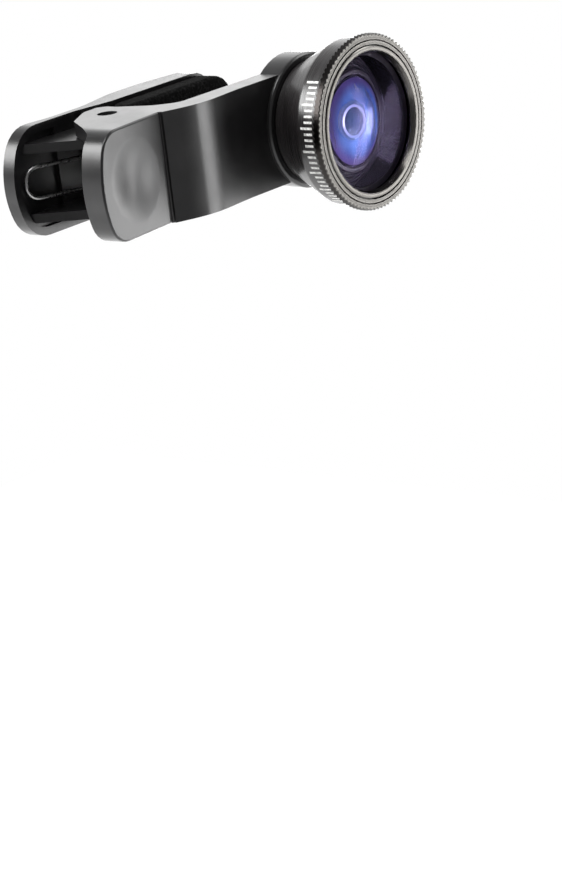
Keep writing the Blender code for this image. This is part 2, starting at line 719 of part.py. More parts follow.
def spring_half():
    """The spring's upper half, from the loop's middle to the free leg's end, seen from the hinge axis."""
    loop_y = PLATE_FLOOR_Y - HINGE_Y - WIRE_R - SEAT_GAP
    leg_slope = (THUMB_INNER_Y - THUMB_END_Y) / (THUMB_EDGE_X - FRONT_END_X)
    leg_y = (
        THUMB_END_Y
        + THUMB_WALL
        + leg_slope * (LEG_END_X - FRONT_END_X)
        + 1.3 * WIRE_R
        - HINGE_Y
    )
    reach = math.hypot(LOOP_END_X, loop_y)
    arm_angle = math.atan2(loop_y, LOOP_END_X) - math.acos(COIL_R / reach)
    leg_reach = math.hypot(LEG_END_X, leg_y)
    leg_angle = math.atan2(leg_y, LEG_END_X) + math.acos(COIL_R / leg_reach)
    turn = (arm_angle - leg_angle) % (2 * math.pi) + 2 * math.pi * COIL_FULL_TURNS
    rise = COIL_PITCH * turn / (2 * math.pi)
    half_width = LUG_INNER - RUN_CLEAR - WIRE_R - rise
    bend_r = LOOP_BEND_SHARE * half_width
    tangent = (COIL_R * math.cos(arm_angle), COIL_R * math.sin(arm_angle))
    along = (tangent[0] - LOOP_END_X, tangent[1] - loop_y)
    length = math.hypot(*along)
    along = (along[0] / length, along[1] / length)
    points = []
    bend = arc((bend_r, half_width - bend_r), bend_r, math.pi, math.pi / 2, 5)
    for run, z in [(0.0, 0.0)] + bend:
        points.append((LOOP_END_X + along[0] * run, loop_y + along[1] * run, z))
    count = round(COIL_POINTS * turn / (2 * math.pi))
    for i in range(count + 1):
        angle = arm_angle - turn * i / count
        z = half_width + rise * i / count
        points.append((COIL_R * math.cos(angle), COIL_R * math.sin(angle), z))
    points.append((LEG_END_X, leg_y, half_width + rise))
    return points


def torsion_spring(home):
    """A double torsion spring in one wire: leg, coil, loop, coil, leg."""
    half = spring_half()
    route = [(x, y, -z) for x, y, z in half[:0:-1]] + half
    wire = bpy.data.curves.new("torsion_spring", "CURVE")
    wire.dimensions = "3D"
    wire.bevel_depth = WIRE_R
    wire.bevel_resolution = 2
    wire.use_fill_caps = True
    spline = wire.splines.new("POLY")
    spline.points.add(len(route) - 1)
    for point, place in zip(spline.points, route):
        point.co = (*place, 1.0)
    obj = bpy.data.objects.new("torsion_spring", wire)
    home.objects.link(obj)
    return obj


def rear_jaw_pad(home, guides):
    """The soft block on the rear jaw, round at its corners."""
    inner = JAW_GAP - HINGE_Y
    outer = JAW_WALL_Y - HINGE_Y - GLUE_GAP
    end = JAW_END_X + PAD_OVERHANG
    plan = rounded(
        [
            (PAD_START_X, inner, PAD_EDGE_R),
            (end, inner, PAD_EDGE_R * 0.7),
            (end, outer, 0.3 * MM),
            (PAD_START_X + 1.6 * MM, outer, 0.6 * MM),
        ]
    )
    half = HALF - PAD_SIDE_INSET
    pad = extruded("rear_jaw_pad", plan, -HALF, HALF, "Z", home)
    start = PAD_START_X - 2 * MM
    side = [(start, half), (start, -half)] + jaw_corners(end, half, JAW_CORNER_R)
    boolean(pad, "INTERSECT", extruded("pad_side", side, -9 * MM, 9 * MM, "Y", guides))
    return pad


def front_ring_pad(home):
    profile = [
        (RING_PAD_IN_R, 0.0),
        (RING_PAD_OUT_R, 0.0),
        (RING_PAD_OUT_R, RING_PAD_THICK),
        (RING_PAD_IN_R, RING_PAD_THICK),
    ]
    return turned("front_ring_pad", profile, ROUND_STEPS, home)


def lens_barrel(home):
    """Threaded tail, neck, taper, band and spigot, turned in one."""
    cell_bore_r = CELL_BODY_R + GLASS_CLEAR
    floor = CELL_BOTTOM - BARREL_FLOOR
    profile = rounded(
        [
            (SPIGOT_R, SPIGOT_TOP, 0),
            (SPIGOT_R, BAND_TOP, 0),
            (BAND_R, BAND_TOP, 0.1 * MM),
            (BAND_R, BAND_FOOT, 1.0 * MM),
            (TAPER_FOOT_R, TAPER_FOOT, 0.25 * MM),
            (NECK_R, TAPER_FOOT, 0.3 * MM),
            (NECK_R, NECK_FOOT, 0.1 * MM),
            (THREAD_R, NECK_FOOT, 0),
            (THREAD_R, TAIL_END + 0.3 * MM, 0),
            (THREAD_R - 0.3 * MM, TAIL_END, 0),
            (REAR_POCKET_R, TAIL_END, 0),
            (REAR_POCKET_R, REAR_SEAT, 0),
            (LIGHT_R, REAR_SEAT, 0),
            (LIGHT_R, floor, 0),
            (cell_bore_r, floor, 0),
            (cell_bore_r, CELL_UNDER - SEAT_GAP, 0),
            (GLASS_BORE_R, CELL_UNDER - SEAT_GAP, 0),
            (GLASS_BORE_R, GLASS_RIM, 0),
            (RING_BORE_R, GLASS_RIM, 0),
            (RING_BORE_R, SPIGOT_TOP, 0),
        ],
        FILLET_STEP,
    )
    return turned("lens_barrel", profile, FINE_STEPS, home)


def knurl_outline():
    """The bezel's toothed rim, one crest and one root a tooth."""
    points = []
    for i in range(2 * KNURL_TEETH):
        radius = BEZEL_R - BEZEL_CHAMFER - KNURL_DEPTH * (i % 2)
        angle = math.pi * i / KNURL_TEETH
        points.append((radius * math.cos(angle), radius * math.sin(angle)))
    return points


def front_bezel(home, guides):
    """The knurled front ring over the barrel's spigot, with a lip, a land and a groove."""
    bezel = extruded(
        "front_bezel", knurl_outline(), BEZEL_FOOT, BEZEL_FACE, "Z", home, BEZEL_CHAMFER
    )
    bore_r = SPIGOT_R + SEAT_GAP
    bore = [
        (0.0, BEZEL_FOOT - 2 * MM),
        (bore_r, BEZEL_FOOT - 2 * MM),
        (bore_r, BEZEL_FACE - BEZEL_LIP),
        (BEZEL_LIP_R, BEZEL_FACE - BEZEL_LIP),
        (BEZEL_LIP_R, BEZEL_FACE + 2 * MM),
        (0.0, BEZEL_FACE + 2 * MM),
    ]
    boolean(bezel, "DIFFERENCE", turned("bezel_bore", bore, FINE_STEPS, guides))
    low_r = BEZEL_GROOVE_R - BEZEL_GROOVE_WIDTH / 2
    groove = [
        (low_r, BEZEL_FACE - BEZEL_GROOVE_DEPTH),
        (low_r + BEZEL_GROOVE_WIDTH, BEZEL_FACE - BEZEL_GROOVE_DEPTH),
        (low_r + BEZEL_GROOVE_WIDTH, BEZEL_FACE + 1 * MM),
        (low_r, BEZEL_FACE + 1 * MM),
    ]
    boolean(bezel, "DIFFERENCE", turned("bezel_groove", groove, FINE_STEPS, guides))
    return bezel


def front_retaining_ring(home):
    """The thin bright ring that holds the front element down."""
    top = BEZEL_FACE + FRONT_RING_PROUD
    foot = GLASS_RIM + SEAT_GAP
    edge = 0.1 * MM
    profile = [
        (FRONT_RING_OUT_R - edge, top),
        (FRONT_RING_OUT_R, top - edge),
        (FRONT_RING_OUT_R, foot),
        (FRONT_RING_IN_R, foot),
        (FRONT_RING_IN_R, foot + FRONT_RING_LIP),
        (FRONT_RING_OUT_R - FRONT_RING_LAND, top),
    ]
    return turned("front_retaining_ring", profile, FINE_STEPS, home)


def front_element(home):
    """The domed negative meniscus, with a flat seat round its hollow back."""
    clear = GLASS_R - GLASS_FLAT
    shoulder = 0.45 * MM
    top_r = GLASS_R - shoulder
    top = GLASS_RIM + sag(DOME_R, top_r)
    hollow_top = top - GLASS_CENTRE
    drop = hollow_top - GLASS_FOOT
    hollow_r = (clear * clear + drop * drop) / (2 * drop)
    profile = (
        [(GLASS_R, GLASS_FOOT), (GLASS_R, GLASS_RIM)]
        + dome(DOME_R, top_r, top, 5)
        + dome(hollow_r, clear, hollow_top, 6)[::-1]
    )
    return turned("front_element", profile, ROUND_STEPS, home)


def element_cell(home):
    """The black ring between the elements: a flange on the barrel's shoulder, and a cup."""
    hub_r = CELL_POCKET_R + CELL_HUB_WALL
    hub_top = SECOND_RIM + SEAT_GAP
    profile = [
        (GLASS_R, CELL_FACE),
        (GLASS_R, CELL_UNDER),
        (CELL_BODY_R, CELL_UNDER),
        (CELL_BODY_R, CELL_BOTTOM),
        (CELL_LIP_R, CELL_BOTTOM),
        (CELL_LIP_R, CELL_SEAT),
        (CELL_POCKET_R, CELL_SEAT),
        (CELL_POCKET_R, hub_top),
        (hub_r - 0.2 * MM, hub_top),
        (hub_r, hub_top - 0.2 * MM),
        (hub_r, CELL_UNDER + 0.1 * MM),
        (CELL_CONE_R, CELL_FACE),
    ]
    return turned("element_cell", profile, INNER_STEPS, home)


def aperture_stop(home):
    outer = CELL_POCKET_R - GLASS_CLEAR
    profile = [
        (outer, STOP_FOOT + STOP_THICK),
        (outer, STOP_FOOT),
        (STOP_HOLE_R + STOP_THICK * 0.8, STOP_FOOT),
        (STOP_HOLE_R, STOP_FOOT + STOP_THICK * 0.8),
        (STOP_HOLE_R, STOP_FOOT + STOP_THICK),
    ]
    return turned("aperture_stop", profile, INNER_STEPS, home)


def second_element(home):
    """The smaller element behind the first: flat behind, domed in front."""
    clear = SECOND_R - SECOND_FLAT
    top = SECOND_RIM + sag(SECOND_DOME_R, clear)
    profile = (
        [(0.0, SECOND_FOOT), (SECOND_R, SECOND_FOOT), (SECOND_R, SECOND_RIM)]
        + dome(SECOND_DOME_R, clear, top, 6)
    )
    return turned("second_element", profile, INNER_STEPS, home)


def rear_element(home):
    """The small element in the tail, domed on both faces inside a flat rim."""
    clear = REAR_GLASS_R - REAR_GLASS_FLAT
    fall = sag(REAR_DOME_R, clear)
    upper = dome(REAR_DOME_R, clear, REAR_GLASS_RIM + fall, 4)
    lower = [(r, REAR_GLASS_FOOT + REAR_GLASS_RIM - h) for r, h in upper]
    profile = (
        [(REAR_GLASS_R, REAR_GLASS_FOOT), (REAR_GLASS_R, REAR_GLASS_RIM)]
        + upper
        + lower[::-1]
    )
    return turned("rear_element", profile, INNER_STEPS, home)


def rear_retaining_ring(home, guides):
    """The slotted ring that holds the rear element up in the tail."""
    top = REAR_RING_FOOT + REAR_RING_LENGTH
    profile = [
        (REAR_GLASS_R, top),
        (REAR_GLASS_R, REAR_RING_FOOT),
        (REAR_RING_IN_R + 0.35 * MM, REAR_RING_FOOT),
        (REAR_RING_IN_R, REAR_RING_FOOT + 0.35 * MM),
        (REAR_RING_IN_R, top),
    ]
    ring = turned("rear_retaining_ring", profile, INNER_STEPS, home)
    across = REAR_GLASS_R + 1 * MM
    half = SPANNER_SLOT / 2
    slot = extruded(
        "spanner_slot",
        [(-across, -half), (across, -half), (across, half), (-across, half)],
        REAR_RING_FOOT - 1 * MM,
        REAR_RING_FOOT + SPANNER_DEPTH,
        "Z",
        guides,
    )
    boolean(ring, "DIFFERENCE", slot)
    return ring


def main():
    clear_scene()
    home, guides = collection(PARTS), collection(CUTTERS)
    moulded = plastic("moulded_black", (0.012, 0.012, 0.014), 0.34)
    anodised = plastic("anodised_black", (0.02, 0.02, 0.022), 0.38, 0.4)
    bright = plastic("bright_aluminium", (0.72, 0.70, 0.67), 0.28, 1.0)
    steel = plastic("spring_steel", (0.55, 0.55, 0.56), 0.3, 1.0)
    foam = plastic("black_foam", (0.02, 0.02, 0.02), 0.95)
    rubber = plastic("black_rubber", (0.025, 0.025, 0.025), 0.8)
    inside = plastic("matt_black", (0.01, 0.01, 0.01), 0.7)
    coated = glass("coated_glass", (0.75, 0.8, 1.0), 0.02)

    bearing_x = LENS_X - (RING_PAD_IN_R + RING_PAD_OUT_R) / 2
    clip = empty("clip_frame", (-bearing_x, 0.0, 0.0), home)
    hinge = empty("jaw_hinge", (0.0, HINGE_Y, 0.0), home, clip)
    lens = empty("lens_axis", (LENS_X, 0.0, 0.0), home, clip, (math.pi / 2, 0.0, 0.0))

    finished(front_arm(home, guides), moulded, clip)
    finished(rear_arm(home, guides), moulded, hinge)
    finished(hinge_pin(home), steel, hinge)
    finished(torsion_spring(home), steel, hinge)
    finished(rear_jaw_pad(home, guides), foam, hinge)
    finished(front_ring_pad(home), rubber, lens)
    finished(lens_barrel(home), anodised, lens)
    finished(front_bezel(home, guides), bright, lens)
    finished(front_retaining_ring(home), bright, lens)
    finished(front_element(home), coated, lens)
    finished(element_cell(home), inside, lens)
    finished(aperture_stop(home), inside, lens)
    finished(second_element(home), coated, lens)
    finished(rear_element(home), coated, lens)
    finished(rear_retaining_ring(home, guides), inside, lens)


main()
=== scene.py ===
"""The clip-on fisheye lens dressed for its portrait: finishes, fine pieces, studio and camera.

Positions are in the frame's own axes. Round pieces of the lens are given as a
radius from the lens axis and a height in front of the front jaw's face.
"""

import math

import bmesh
import bpy
from mathutils import Matrix, Vector, noise
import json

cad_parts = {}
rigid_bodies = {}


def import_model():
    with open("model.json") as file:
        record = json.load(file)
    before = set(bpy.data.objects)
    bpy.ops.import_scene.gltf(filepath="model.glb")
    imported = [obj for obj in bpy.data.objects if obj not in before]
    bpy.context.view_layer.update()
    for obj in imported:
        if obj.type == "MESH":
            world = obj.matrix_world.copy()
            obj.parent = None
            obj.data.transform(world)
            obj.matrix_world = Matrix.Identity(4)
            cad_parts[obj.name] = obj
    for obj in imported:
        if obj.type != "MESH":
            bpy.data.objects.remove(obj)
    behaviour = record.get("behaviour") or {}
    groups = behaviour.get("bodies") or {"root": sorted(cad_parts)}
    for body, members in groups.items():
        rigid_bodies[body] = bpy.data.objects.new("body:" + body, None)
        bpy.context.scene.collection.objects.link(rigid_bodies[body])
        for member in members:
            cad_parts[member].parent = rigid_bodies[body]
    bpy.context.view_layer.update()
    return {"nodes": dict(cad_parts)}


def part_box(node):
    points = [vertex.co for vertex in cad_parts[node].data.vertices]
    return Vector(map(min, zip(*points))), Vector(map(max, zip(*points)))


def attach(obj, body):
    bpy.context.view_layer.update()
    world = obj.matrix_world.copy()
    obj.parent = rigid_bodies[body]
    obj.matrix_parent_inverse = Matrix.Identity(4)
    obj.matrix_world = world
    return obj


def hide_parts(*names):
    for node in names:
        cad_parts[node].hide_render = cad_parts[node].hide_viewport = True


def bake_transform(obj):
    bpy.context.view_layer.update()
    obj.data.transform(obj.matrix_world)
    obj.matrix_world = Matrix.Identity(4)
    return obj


for old in list(bpy.data.objects):
    bpy.data.objects.remove(old, do_unlink=True)

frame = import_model()

MM = 0.001
NODES = frame["nodes"]

# The axes of the jaws' hinge and of the lens
HINGE_X, HINGE_Y = -23.35 * MM, 6.2 * MM
LENS_X = 8.05 * MM

# Camera, solved from the photograph
CAMERA_AT = Vector((-401.11, -336.64, 103.35)) * MM
LOOK = Vector((0.73493, 0.62060, -0.27338))
RIGHT = Vector((0.61466, -0.77991, -0.11806))
FOCAL_PIXELS = 3755.5
FRAME_PIXELS = 562.0
SENSOR = 36.0

# Studio
FLOOR_Z = -320 * MM
FLOOR_REACH = 0.7
FLOOR_LIFT = 0.62
ROOM_LEVEL = 0.45  # of the world, as it lights matt surfaces
DIM_LEVEL = 0.32  # of the room behind the camera, as gloss shows it
BACKDROP_EDGE = (0.3, 0.75)  # cosines from the view between which the dim turns white
POWER_PER_RADIANCE = 4  # in watts for each square metre of an area lamp
LAMPS = (
    # name, azimuth, elevation, distance, width, height, radiance
    ("crest_strip", 35, -10, 0.6, 0.1, 0.42, 11.0),
    ("side_box", 67, -14, 0.6, 0.3, 0.26, 6.0),
    ("edge_box", 121, -10, 0.6, 0.26, 0.3, 8.0),
    ("line_box", 72, 42, 0.6, 0.26, 0.2, 5.0),
    ("low_left_box", -132, -14, 0.6, 0.3, 0.26, 1.4),
    ("back_box", -138, 28, 0.6, 0.28, 0.3, 12.0),
    ("rear_box", 130, 19, 0.7, 0.45, 0.3, 1.1),
    ("top_box", -95, 68, 0.6, 0.28, 0.28, 8.0),
)

# Meshes
WELD = 0.002 * MM
FLAT_ANGLE = math.radians(0.6)  # the most between facets of one flat face
ROLL_ANGLE = math.radians(28.0)  # the least at an edge that is rolled over
# Degrees over which an edge stays sharp: on CAD pieces, turned ones, the wire and the foam
SHARP_CAD, SHARP_TURNED, SHARP_WIRE, SHARP_FOAM = 32.0, 30.0, 60.0, 80.0
TURN_STEPS = 128
DOME_STEPS = 24


class Graph:
    """The nodes of a material or a world, with its output as out."""

    def __init__(self, owner, output="OutputMaterial"):
        owner.use_nodes = True
        self.tree = owner.node_tree
        self.tree.nodes.clear()
        self.out = self.node(output)

    def node(self, kind, **settings):
        made = self.tree.nodes.new("ShaderNode" + kind)
        for key, value in settings.items():
            setattr(made, key, value)
        return made

    def link(self, source, target):
        self.tree.links.new(source, target)

    def put(self, value, target):
        """Links another node's result to target, or sets a colour or a number on it."""
        if isinstance(value, bpy.types.NodeSocket):
            self.link(value, target)
        elif isinstance(value, tuple):
            target.default_value = (*value, 1.0)
        else:
            target.default_value = value

    def show(self, shader):
        self.link(shader.outputs[0], self.out.inputs["Surface"])

    def place(self, scale=(1.0, 1.0, 1.0), offset=(0.0, 0.0, 0.0)):
        """Object coordinates in millimetres, scaled and moved."""
        coordinates = self.node("TexCoord")
        mapping = self.node("Mapping")
        mapping.inputs["Scale"].default_value = [s / MM for s in scale]
        mapping.inputs["Location"].default_value = offset
        self.link(coordinates.outputs["Object"], mapping.inputs["Vector"])
        return mapping.outputs["Vector"]

    def from_lens(self):
        """X, Y and Z in millimetres from where the lens axis meets the jaw's face."""
        return self.split(self.place(offset=(-LENS_X / MM, 0.0, 0.0)))

    def lens_radius(self):
        """Distance from the lens axis, in millimetres."""
        at = self.from_lens()
        across = self.math("POWER", at["X"], 2.0)
        up = self.math("POWER", at["Z"], 2.0)
        return self.math("SQRT", self.math("ADD", across, up))

    def split(self, vector):
        made = self.node("SeparateXYZ")
        self.link(vector, made.inputs["Vector"])
        return made.outputs

    def noise(self, vector, scale, detail):
        made = self.node("TexNoise")
        made.inputs["Scale"].default_value = scale
        made.inputs["Detail"].default_value = detail
        made.inputs["Roughness"].default_value = 0.55
        self.link(vector, made.inputs["Vector"])
        return made.outputs["Fac"]

    def ramp(self, value, low, high, out_low, out_high):
        """value from low to high becomes out_low to out_high, smoothly."""
        made = self.node("MapRange", interpolation_type="SMOOTHSTEP")
        for socket, number in (
            ("From Min", low),
            ("From Max", high),
            ("To Min", out_low),
            ("To Max", out_high),
        ):
            made.inputs[socket].default_value = number
        self.link(value, made.inputs["Value"])
        return made.outputs["Result"]

    def spread(self, value, low, high):
        """The range that most of a noise lies in becomes low to high."""
        return self.ramp(value, 0.3, 0.7, low, high)

    def mixed(self, factor, first, second):
        """The colour between first and second by factor."""
        made = self.node("Mix", data_type="RGBA")
        self.put(factor, made.inputs["Factor"])
        self.put(first, made.inputs[6])
        self.put(second, made.inputs[7])
        return made.outputs[2]

    def math(self, operation, *values):
        made = self.node("Math", operation=operation)
        for value, target in zip(values, made.inputs):
            self.put(value, target)
        return made.outputs[0]

    def rays(self):
        """Tests of where a ray comes from: the camera, a matt surface, gloss or glass."""
        paths = self.node("LightPath").outputs
        gloss = self.math("MAXIMUM", paths["Is Glossy Ray"], paths["Is Transmission Ray"])
        return paths["Is Camera Ray"], paths["Is Diffuse Ray"], gloss


class Finish(Graph):
    """A material of one Principled shader."""

    def __init__(self, name, metallic=0.0, specular=0.5):
        self.material = bpy.data.materials.new(name)
        super().__init__(self.material)
        self.shader = self.node("BsdfPrincipled")
        self.show(self.shader)
        self.feed("Metallic", metallic)
        self.feed("Specular IOR Level", specular)

    def feed(self, socket, value):
        self.put(value, self.shader.inputs[socket])

    def bump(self, height, distance, strength):
        made = self.node("Bump")
        made.inputs["Distance"].default_value = distance
        made.inputs["Strength"].default_value = strength
        self.link(height, made.inputs["Height"])
        self.feed("Normal", made.outputs["Normal"])


def moulded_plastic():
    """Black plastic with a fine spark texture and a gloss that clouds a little."""
    f = Finish("moulded_plastic", specular=0.45)
    at = f.place()
    smear = f.noise(f.place(scale=(0.5, 0.5, 0.12)), 1.0, 4.0)
    f.feed("Base Color", f.mixed(smear, (0.004, 0.004, 0.0045), (0.01, 0.0095, 0.01)))
    f.feed("Roughness", f.spread(f.noise(at, 0.22, 3.0), 0.28, 0.32))
    f.bump(f.noise(at, 7.0, 2.0), 0.012 * MM, 0.25)
    return f.material


def anodised():
    """Black anodised aluminium with fine turning lines."""
    f = Finish("black_anodised", specular=0.55)
    cloud = f.noise(f.place(), 0.5, 4.0)
    lines = f.noise(f.place(scale=(0.05, 9.0, 0.05)), 1.0, 2.0)
    f.feed("Base Color", f.mixed(cloud, (0.009, 0.008, 0.009), (0.02, 0.018, 0.018)))
    f.feed("Roughness", f.spread(lines, 0.24, 0.36))
    f.bump(lines, 0.01 * MM, 0.06)
    return f.material


def turn_bright(f, pitch, share, groove, dull, bright):
    """Gives f concentric turning lines. Returns its colour: a share of it is cloudy metal."""
    rings = f.node("CombineXYZ")
    f.link(f.math("MULTIPLY", f.lens_radius(), pitch), rings.inputs["X"])
    lines = f.noise(rings.outputs["Vector"], 1.0, 2.0)
    f.feed("Roughness", f.spread(lines, 0.18, 0.28))
    f.bump(lines, 0.02 * MM, 0.4)
    worn = f.mixed(f.noise(f.place(), 0.6, 3.0), dull, bright)
    return f.mixed(f.ramp(lines, 0.35, 0.6, 0.0, share), groove, worn)


def bright_metal():
    """Turned bright aluminium, slightly warm, with concentric lines."""
    f = Finish("bright_aluminium", metallic=1.0)
    groove, dull, bright = (0.06, 0.057, 0.053), (0.14, 0.134, 0.125), (0.23, 0.221, 0.208)
    f.feed("Base Color", turn_bright(f, 9.0, 0.75, groove, dull, bright))
    return f.material


def bright_face_painted_shade_sides():
    """The knurled ring: bright metal on its front face, which tips each tooth white, and near black
    behind it as painted shade.
    """
    f = Finish("knurl_ring_painted_shade_sides", metallic=1.0)
    groove, dull, bright = (0.055, 0.053, 0.05), (0.13, 0.125, 0.117), (0.21, 0.202, 0.19)
    faced = turn_bright(f, 8.0, 0.7, groove, dull, bright)
    # Painted shade: all but the front face is near black.
    side = f.ramp(f.split(f.place())["Y"], -15.03, -14.97, 0.0, 1.0)
    f.feed("Base Color", f.mixed(side, faced, (0.02, 0.018, 0.017)))
    return f.material


def steel(name, value, roughness):
    """Drawn steel, a grey of that value."""
    f = Finish(name, metallic=1.0)
    along = f.noise(f.place(), 2.5, 3.0)
    f.feed("Base Color", f.mixed(along, (value * 0.75,) * 3, (value * 1.15,) * 3))
    f.feed("Roughness", f.spread(along, roughness * 0.8, roughness * 1.3))
    return f.material


def foam():
    """Open black foam: dusty, matt, pitted."""
    f = Finish("black_foam", specular=0.04)
    at = f.place()
    speck = f.noise(at, 2.6, 4.0)
    dust = f.ramp(speck, 0.4, 0.75, 0.0, 1.0)
    f.feed("Base Color", f.mixed(dust, (0.003, 0.003, 0.003), (0.016, 0.016, 0.016)))
    f.feed("Roughness", f.spread(speck, 0.9, 1.0))
    f.bump(f.noise(at, 7.0, 3.0), 0.06 * MM, 0.8)
    return f.material


def rubber():
    """Matt black rubber."""
    f = Finish("black_rubber", specular=0.3)
    at = f.place()
    cloud = f.noise(at, 0.8, 4.0)
    f.feed("Base Color", f.mixed(cloud, (0.01, 0.01, 0.01), (0.028, 0.028, 0.027)))
    f.feed("Roughness", f.spread(cloud, 0.55, 0.8))
    f.bump(f.noise(at, 6.0, 2.0), 0.02 * MM, 0.4)
    return f.material


def matt_black(name, tint=(1.0, 0.85, 1.15)):
    """Black that is lit only a little, in the tint."""
    f = Finish(name, specular=0.4)
    cloud = f.noise(f.place(), 0.7, 3.0)
    low, high = (tuple(level * t for t in tint) for level in (0.006, 0.014))
    f.feed("Base Color", f.mixed(cloud, low, high))
    f.feed("Roughness", f.spread(cloud, 0.38, 0.55))
    return f.material


def stop_metal():
    """Black, with a near-white edge round the hole: turned metal there, painted bright as a ring of
    reflected light.
    """
    f = Finish("stop_metal", metallic=1.0)
    past_edge = f.ramp(f.lens_radius(), 2.22, 2.3, 0.0, 1.0)
    cloud = f.noise(f.place(), 3.0, 2.0)
    # Painted highlight: the ring at the hole's edge is near white.
    bright = f.mixed(cloud, (0.8, 0.8, 0.84), (0.95, 0.95, 0.97))
    f.feed("Base Color", f.mixed(past_edge, bright, (0.008, 0.007, 0.01)))
    f.feed("Roughness", f.spread(cloud, 0.3, 0.45))
    return f.material


def coated_glass(name, colour, mirror, share):
    """Ground glass, which bends light and mirrors a share of it in its coating's colour.

    share is a number, or (first, last, near, far): near at first millimetres
    along X from the lens axis, far at last, which paints the reflection stronger on one side.
    """
    made = bpy.data.materials.new(name)
    g = Graph(made)
    bent = g.node("BsdfRefraction")
    g.put(colour, bent.inputs["Color"])
    g.put(0.02, bent.inputs["Roughness"])
    g.put(1.5, bent.inputs["IOR"])
    glint = g.node("BsdfAnisotropic")
    g.put(mirror, glint.inputs["Color"])
    g.put(g.spread(g.noise(g.place(), 0.6, 4.0), 0.1, 0.18), glint.inputs["Roughness"])
    # A share that changes along X is a painted reflection, stronger on one side.
    if isinstance(share, tuple):
        share = g.ramp(g.from_lens()["X"], *share)
    both = g.node("MixShader")
    g.put(share, both.inputs["Fac"])
    g.link(bent.outputs[0], both.inputs[1])
    g.link(glint.outputs[0], both.inputs[2])
    g.show(both)
    return made


def blue_painted_sheen():
    """A hazy film with a painted blue sheen, violet towards its rim, which stands for the coloured
    reflections of the coatings; thin enough to see the stop through.
    """
    f = Finish("blue_painted_sheen", metallic=0.4, specular=0.2)
    radius = f.lens_radius()
    up = f.math("ABSOLUTE", f.split(f.place())["Z"])
    f.feed("Coat Roughness", 0.2)
    # The coat is strongest in a band across the middle, which puts its highlight there.
    f.feed("Coat Weight", f.ramp(up, 0.8, 4.5, 1.0, 0.05))
    # Thin where the camera looks through it at the stop
    off_sight = f.node("VectorMath", operation="LENGTH")
    flat = f.place(scale=(1.0, 0.0, 1.0), offset=(2.0 - LENS_X / MM, 0.0, -0.6))
    f.link(flat, off_sight.inputs[0])
    f.feed("Alpha", f.ramp(off_sight.outputs["Value"], 2.0, 3.2, 0.12, 0.55))
    # Painted sheen: blue with random streaks, violet towards the rim, in place of reflected light.
    streak = f.noise(f.place(scale=(0.4, 0.2, 0.14)), 1.0, 3.0)
    blue = f.mixed(f.spread(streak, 0.0, 1.0), (0.04, 0.1, 0.46), (0.16, 0.34, 0.95))
    f.feed("Base Color", f.mixed(f.ramp(radius, 4.4, 6.2, 0.0, 1.0), blue, (0.2, 0.14, 0.5)))
    f.feed("Roughness", f.ramp(radius, 0.0, 6.4, 0.3, 0.42))
    return f.material


def index_paint():
    """White paint, worn thin in places."""
    f = Finish("index_paint", specular=0.4)
    wear = f.noise(f.place(), 3.2, 3.0)
    left = f.ramp(wear, 0.35, 0.6, 0.0, 1.0)
    f.feed("Base Color", f.mixed(left, (0.42, 0.42, 0.41), (0.86, 0.86, 0.84)))
    f.feed("Roughness", f.spread(wear, 0.35, 0.6))
    return f.material


def stage_white():
    """A pale card that takes shadows, lifted to white where it is seen, in glass and metal too."""
    made = bpy.data.materials.new("stage_white")
    g = Graph(made)
    card = g.node("BsdfDiffuse")
    g.put((0.8, 0.8, 0.8), card.inputs["Color"])
    glow = g.node("Emission")
    direct, _, gloss = g.rays()
    seen = g.math("MAXIMUM", direct, gloss)
    g.link(g.math("MULTIPLY", seen, FLOOR_LIFT), glow.inputs["Strength"])
    both = g.node("AddShader")
    g.link(card.outputs[0], both.inputs[0])
    g.link(glow.outputs[0], both.inputs[1])
    g.show(both)
    return made


def new_piece(name, mesh, body, finish, slot_name, *nodes):
    """A shown object that rides on a CAD body and may stand for CAD nodes."""
    made = bpy.data.objects.new(name, mesh)
    bpy.context.scene.collection.objects.link(made)
    mesh.materials.clear()
    for each in finish if isinstance(finish, tuple) else (finish,):
        mesh.materials.append(each)
    if body:
        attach(made, body)
    if nodes:
        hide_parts(*nodes)
    return made


def real_mesh(obj):
    """Puts obj's evaluated mesh in place of its modifiers."""
    graph = bpy.context.evaluated_depsgraph_get()
    mesh = bpy.data.meshes.new_from_object(obj.evaluated_get(graph))
    obj.modifiers.clear()
    obj.data = mesh


def clean_cage(node):
    """The CAD node's surface, welded, with its flat faces whole again."""
    cage = bmesh.new()
    cage.from_mesh(NODES[node].data)
    bmesh.ops.remove_doubles(cage, verts=cage.verts, dist=WELD)
    bmesh.ops.dissolve_limit(cage, angle_limit=FLAT_ANGLE, verts=cage.verts, edges=cage.edges)
    return cage


def as_mesh(cage, name):
    mesh = bpy.data.meshes.new(name)
    cage.to_mesh(mesh)
    cage.free()
    return mesh


def smooth_faces(mesh, angle):
    """Shades mesh smooth, but for edges over an angle in degrees."""
    mesh.shade_smooth()
    mesh.set_sharp_from_angle(angle=math.radians(angle))


def soft_edges(node, name, body, finish, slot_name, width, prepare=None):
    """The CAD node's surface, its sharp edges rolled over by width and its round faces smooth."""
    cage = clean_cage(node)
    if prepare:
        prepare(cage)
    made = new_piece(name, as_mesh(cage, name), body, finish, slot_name, node)
    if width:
        bevel = made.modifiers.new("roll", "BEVEL")
        bevel.width = width * MM
        bevel.segments = 3
        bevel.limit_method = "ANGLE"
        bevel.angle_limit = ROLL_ANGLE
        bevel.use_clamp_overlap = True
        real_mesh(made)
    smooth_faces(made.data, SHARP_CAD)
    if width:
        flat = made.modifiers.new("flat", "WEIGHTED_NORMAL")
        flat.mode = "FACE_AREA"
        flat.keep_sharp = True
        real_mesh(made)
    return made


